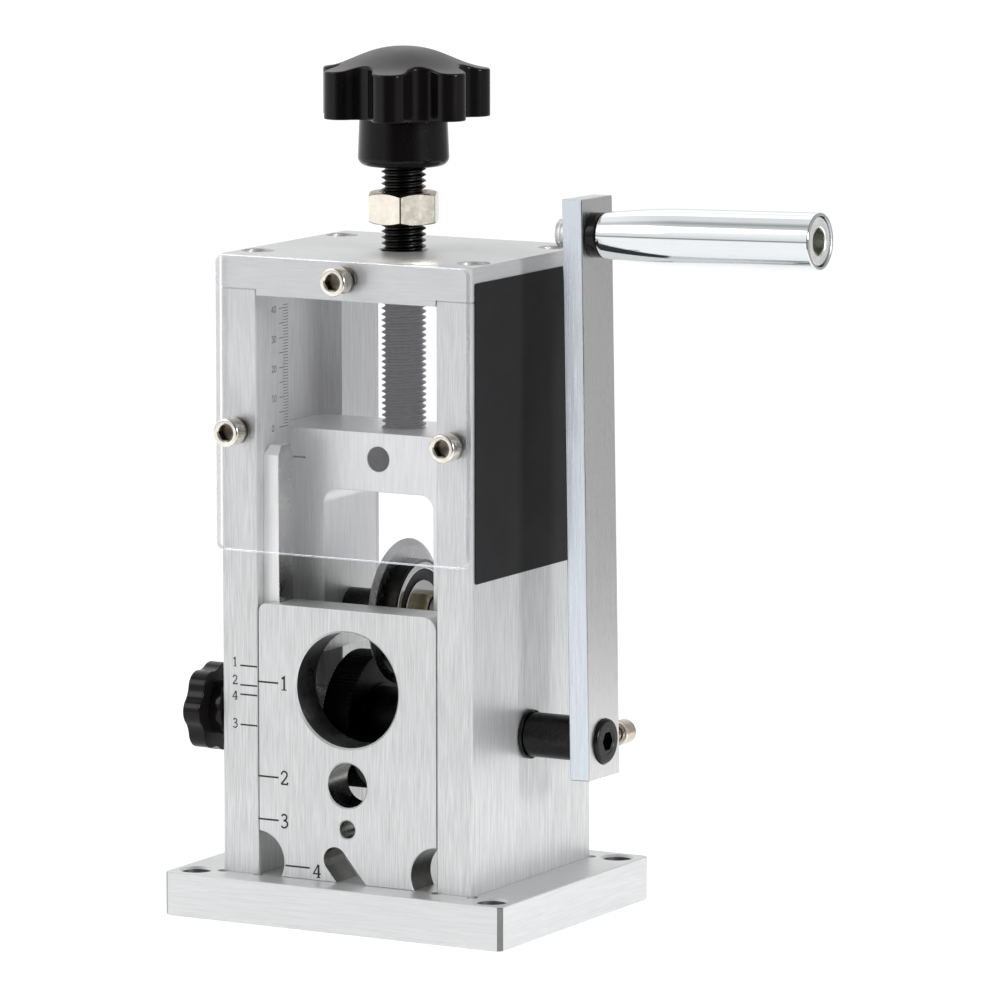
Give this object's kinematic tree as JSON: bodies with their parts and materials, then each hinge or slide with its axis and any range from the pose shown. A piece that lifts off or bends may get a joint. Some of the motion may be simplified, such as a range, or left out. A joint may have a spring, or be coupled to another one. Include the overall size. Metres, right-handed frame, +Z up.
{
  "type": "hand crank wire stripper",
  "caption": "Bench wire stripper: a hand crank turns feed wheels that push wire from a guide plate's holes under a round blade, set by a star knob.",
  "frame": {"origin": "centre of the base plate's underside", "axes": "+Z up, the wire goes in at the front, which faces -Y, and the crank is on the +X side"},
  "size_m": [0.221, 0.104, 0.2927],
  "materials": {
    "brushed_aluminium": "brushed",
    "satin_aluminium": "satin",
    "black_steel": "black oxide, satin",
    "steel": "ground",
    "nickel": "bright nickel",
    "chrome": "polished",
    "bronze": "satin",
    "black_plastic": "glossy moulding",
    "label_black": "matte film",
    "clear_acrylic": "clear, polished edges"
  },
  "bodies": {
    "frame": {"base_plate": "brushed_aluminium", "base_screw_1": "nickel", "base_screw_2": "nickel", "base_screw_3": "nickel", "base_screw_4": "nickel", "side_plate_left": "brushed_aluminium", "side_plate_right": "brushed_aluminium", "top_plate": "brushed_aluminium", "top_screw_1": "nickel", "top_screw_2": "nickel", "top_screw_3": "nickel", "top_screw_4": "nickel", "bush_left": "bronze", "bush_right": "bronze", "clamp_strip": "brushed_aluminium", "clear_shield": "clear_acrylic", "shield_spacer_1": "nickel", "shield_screw_1": "nickel", "shield_spacer_2": "nickel", "shield_screw_2": "nickel", "shield_spacer_3": "nickel", "shield_screw_3": "nickel", "side_label": "label_black"},
    "carrier": {"carrier": "brushed_aluminium", "carrier_grub_screw": "black_steel", "blade_axle": "steel", "bearing_inner_ring": "steel", "axle_nut": "bronze", "axle_sleeve_left": "steel", "axle_sleeve_right": "steel"},
    "adjuster": {"adjusting_screw": "black_steel", "top_knob": "black_plastic"},
    "lock_nut": {"lock_nut": "nickel"},
    "blade": {"blade": "steel", "blade_hub": "black_steel", "blade_clamp_ring": "black_steel", "bearing_outer_ring": "steel"},
    "crank": {"drive_shaft": "black_steel", "feed_wheel_left": "black_steel", "feed_wheel_right": "black_steel", "wheel_spacer": "black_steel", "shaft_spacer_left": "steel", "shaft_spacer_right": "steel", "shaft_ring": "black_steel", "crank_arm": "satin_aluminium", "crank_screw": "nickel", "crank_spring_washer": "nickel", "handle_bolt": "nickel", "handle_spacer": "black_plastic"},
    "handle": {"handle_sleeve": "chrome"},
    "guide": {"guide_plate": "brushed_aluminium"},
    "clamp_pad": {"clamp_pad": "bronze"},
    "clamp_knob": {"clamp_knob": "black_plastic", "clamp_stud": "nickel"}
  },
  "joints": [
    {"name": "carrier_slide", "type": "slide", "parent": "frame", "child": "carrier", "axis": [0, 0, 1], "range_m": [0, 0.04]},
    {"name": "adjuster_spin", "type": "hinge", "parent": "carrier", "child": "adjuster", "pos_m": [0, -0.002, 0.19], "axis": [0, 0, 1], "range_deg": [0, 7200]},
    {"name": "lock_nut_slide", "type": "slide", "parent": "adjuster", "child": "lock_nut", "axis": [0, 0, 1], "range_m": [-0.0085, 0.008]},
    {"name": "blade_spin", "type": "hinge", "parent": "carrier", "child": "blade", "pos_m": [0, -0.002, 0.102], "axis": [1, 0, 0], "continuous": true},
    {"name": "crank_spin", "type": "hinge", "parent": "frame", "child": "crank", "pos_m": [0, -0.002, 0.064], "axis": [1, 0, 0], "continuous": true},
    {"name": "handle_spin", "type": "hinge", "parent": "crank", "child": "handle", "pos_m": [0.11156, -0.00178, 0.23405], "axis": [0.9997, 0.0004, 0.0253], "continuous": true},
    {"name": "guide_slide", "type": "slide", "parent": "frame", "child": "guide", "axis": [0, 0, 1], "range_m": [0, 0.0565]},
    {"name": "clamp_slide", "type": "slide", "parent": "frame", "child": "clamp_pad", "axis": [-1, 0, 0], "range_m": [0, 0.003]},
    {"name": "clamp_spin", "type": "hinge", "parent": "clamp_pad", "child": "clamp_knob", "pos_m": [-0.055, -0.0336, 0.0694], "axis": [-1, 0, 0], "range_deg": [0, 864.5]}
  ],
  "couplings": [
    {"joint": "adjuster_spin", "follows": "carrier_slide", "rad_per_m": 3141.6},
    {"joint": "clamp_spin", "follows": "clamp_slide", "rad_per_m": 5026.6}
  ]
}
